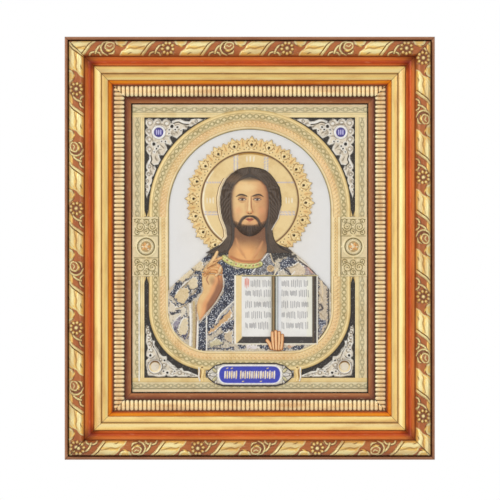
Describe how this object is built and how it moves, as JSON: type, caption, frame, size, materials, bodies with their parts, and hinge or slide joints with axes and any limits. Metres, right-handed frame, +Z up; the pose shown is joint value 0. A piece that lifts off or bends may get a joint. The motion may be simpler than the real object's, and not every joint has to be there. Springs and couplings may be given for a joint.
{
  "type": "framed icon panel",
  "caption": "Small embossed devotional icon with a painted half-figure and an arched border, set in a wide gilt ornamented frame with a backing board and a hanger.",
  "frame": {"origin": "middle of the flat back of the top rail, where the frame hangs against the wall", "axes": "+Z up, +X to the right seen from the front, the front faces -Y and the wall is the plane Y = 0"},
  "size_m": [0.231, 0.03, 0.264],
  "materials": {
    "gilt_moulding": "wood moulding under gold and copper-brown metal leaf, satin to polished",
    "embossed_panel": "fibreboard faced with embossed and printed gold and silver foil, part satin, part bright",
    "backing_board": "plain brown pressed board, matt",
    "hanger_steel": "zinc plated, satin"
  },
  "bodies": {
    "root": {"frame_rail_top": "gilt_moulding", "frame_rail_bottom": "gilt_moulding", "frame_rail_left": "gilt_moulding", "frame_rail_right": "gilt_moulding", "icon_panel": "embossed_panel", "backing_board": "backing_board", "hanger": "hanger_steel", "hanger_rivet_left": "hanger_steel", "hanger_rivet_right": "hanger_steel"}
  },
  "joints": []
}
